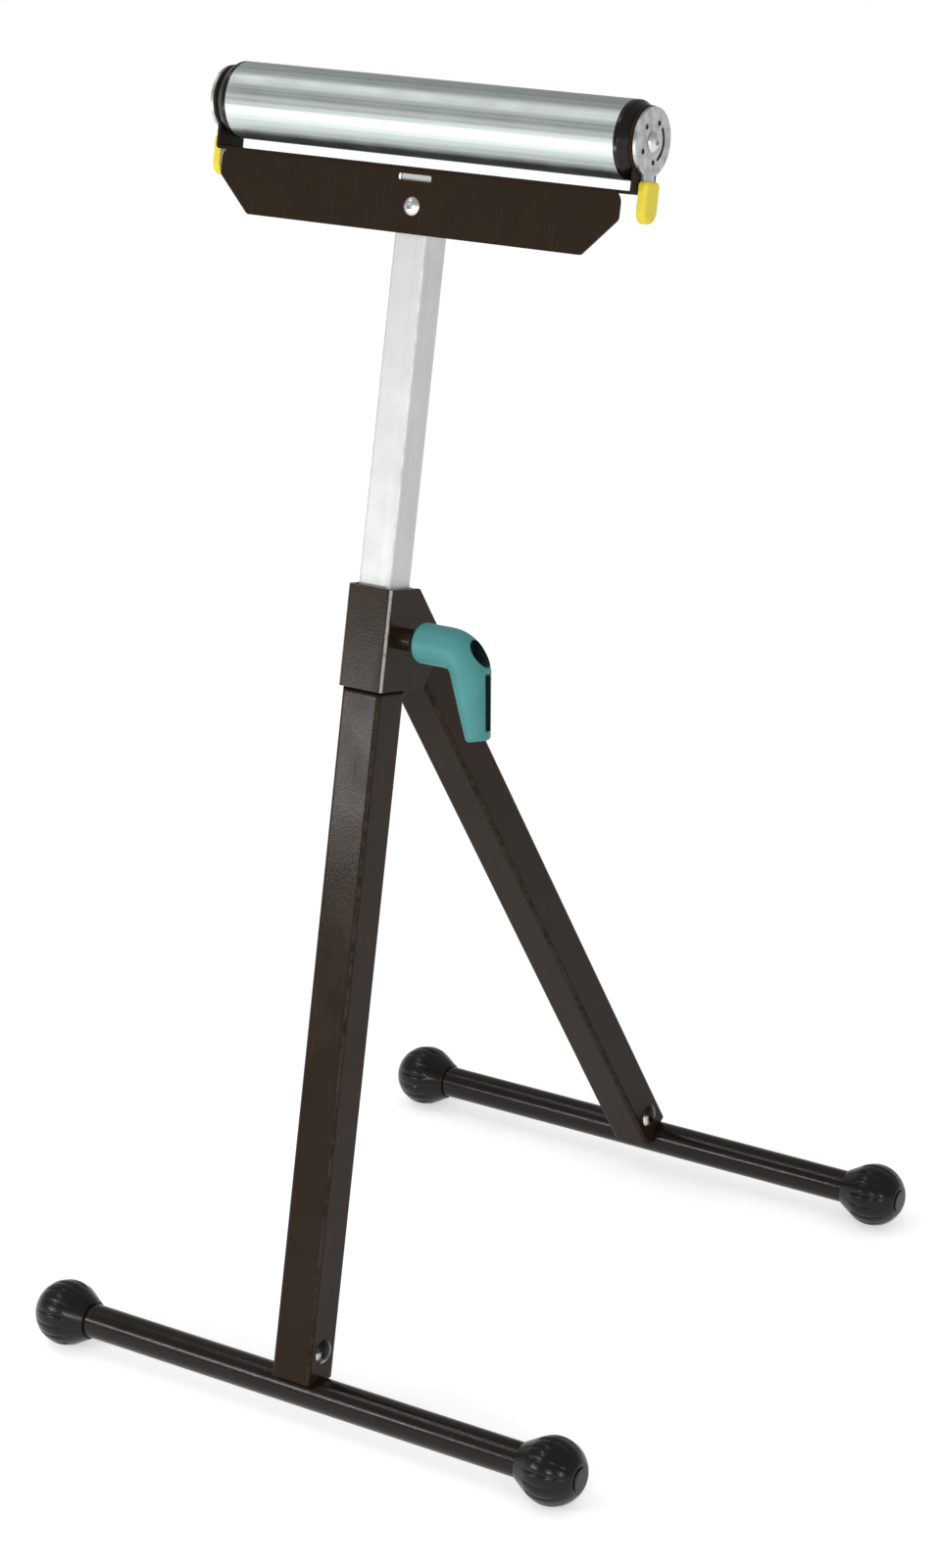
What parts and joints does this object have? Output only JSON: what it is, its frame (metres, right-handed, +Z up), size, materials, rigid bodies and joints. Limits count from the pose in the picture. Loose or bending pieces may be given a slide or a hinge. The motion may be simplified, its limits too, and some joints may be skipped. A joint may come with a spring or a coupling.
{
  "type": "folding roller stand",
  "caption": "Folding roller stand with a leaning square leg, hinged rear leg, ball feet, clamped sliding mast and a free-turning roller between swing-up end guides.",
  "frame": {"origin": "on the floor, at the centre of the four ball feet", "axes": "+X along the roller toward the clamp lever's side, +Y from the front foot bar to the rear foot bar, +Z up"},
  "size_m": [0.4432, 0.501, 0.8724],
  "materials": {
    "black_paint": "semi-gloss",
    "zinc_tube": "bright zinc plate",
    "zinc_hardware": "zinc plate",
    "black_plastic": "satin",
    "teal_plastic": "satin",
    "yellow_plastic": "satin",
    "brass": "turned"
  },
  "bodies": {
    "base": {"front_leg_tube": "black_paint", "pivot_collar": "black_paint", "mast_guide_sleeve": "black_plastic", "front_foot_bar": "black_paint", "front_foot_stub": "black_paint", "front_foot_bolt": "zinc_hardware", "front_foot_nut": "zinc_hardware", "front_left_ball_foot": "black_plastic", "front_right_ball_foot": "black_plastic", "pivot_bolt": "zinc_hardware", "pivot_nut": "zinc_hardware", "clamp_boss": "black_paint"},
    "rear_leg": {"rear_leg_tube": "black_paint", "pivot_spacer": "zinc_hardware", "rear_foot_bar": "black_paint", "rear_foot_stub": "black_paint", "rear_foot_bolt": "zinc_hardware", "rear_foot_nut": "zinc_hardware", "rear_left_ball_foot": "black_plastic", "rear_right_ball_foot": "black_plastic"},
    "mast": {"mast_tube": "zinc_tube", "mast_bottom_glide": "black_plastic", "head_bracket": "black_paint", "head_screw": "zinc_hardware", "head_nut": "zinc_hardware", "roller_axle": "zinc_hardware", "axle_spacers": "zinc_hardware", "axle_end_screws": "zinc_hardware"},
    "roller": {"roller_tube": "zinc_tube", "left_end_cap": "black_plastic", "right_end_cap": "black_plastic", "roller_bearings": "zinc_hardware"},
    "left_guide": {"left_guide_disc": "zinc_hardware", "left_guide_grip": "yellow_plastic"},
    "right_guide": {"right_guide_disc": "zinc_hardware", "right_guide_grip": "yellow_plastic"},
    "clamp_thrust_pad": {"clamp_pad": "brass"},
    "clamp_handle": {"clamp_stud": "zinc_hardware", "clamp_lever": "teal_plastic"}
  },
  "joints": [
    {"name": "rear_leg_fold", "type": "hinge", "parent": "base", "child": "rear_leg", "pos_m": [0, -0.08353, 0.51199], "axis": [-1, 0, 0], "range_deg": [0, 45]},
    {"name": "mast_slide", "type": "slide", "parent": "base", "child": "mast", "axis": [0, 0.2215, 0.9751], "range_m": [-0.226, 0.129]},
    {"name": "roller_spin", "type": "hinge", "parent": "mast", "child": "roller", "pos_m": [0, -0.03861, 0.84738], "axis": [1, 0, 0], "continuous": true},
    {"name": "left_guide_swing", "type": "hinge", "parent": "mast", "child": "left_guide", "pos_m": [0, -0.03861, 0.84738], "axis": [-1, 0, 0], "range_deg": [0, 180]},
    {"name": "right_guide_swing", "type": "hinge", "parent": "mast", "child": "right_guide", "pos_m": [0, -0.03861, 0.84738], "axis": [-1, 0, 0], "range_deg": [0, 180]},
    {"name": "clamp_pad_advance", "type": "slide", "parent": "base", "child": "clamp_thrust_pad", "axis": [1, 0, 0], "range_m": [0, 0.00095]},
    {"name": "clamp_lever_turn", "type": "hinge", "parent": "base", "child": "clamp_handle", "pos_m": [0, -0.1134, 0.52493], "axis": [1, 0, 0], "range_deg": [0, 270]}
  ],
  "couplings": [
    {"joint": "clamp_pad_advance", "follows": "clamp_lever_turn", "m_per_rad": 0.00019894}
  ]
}
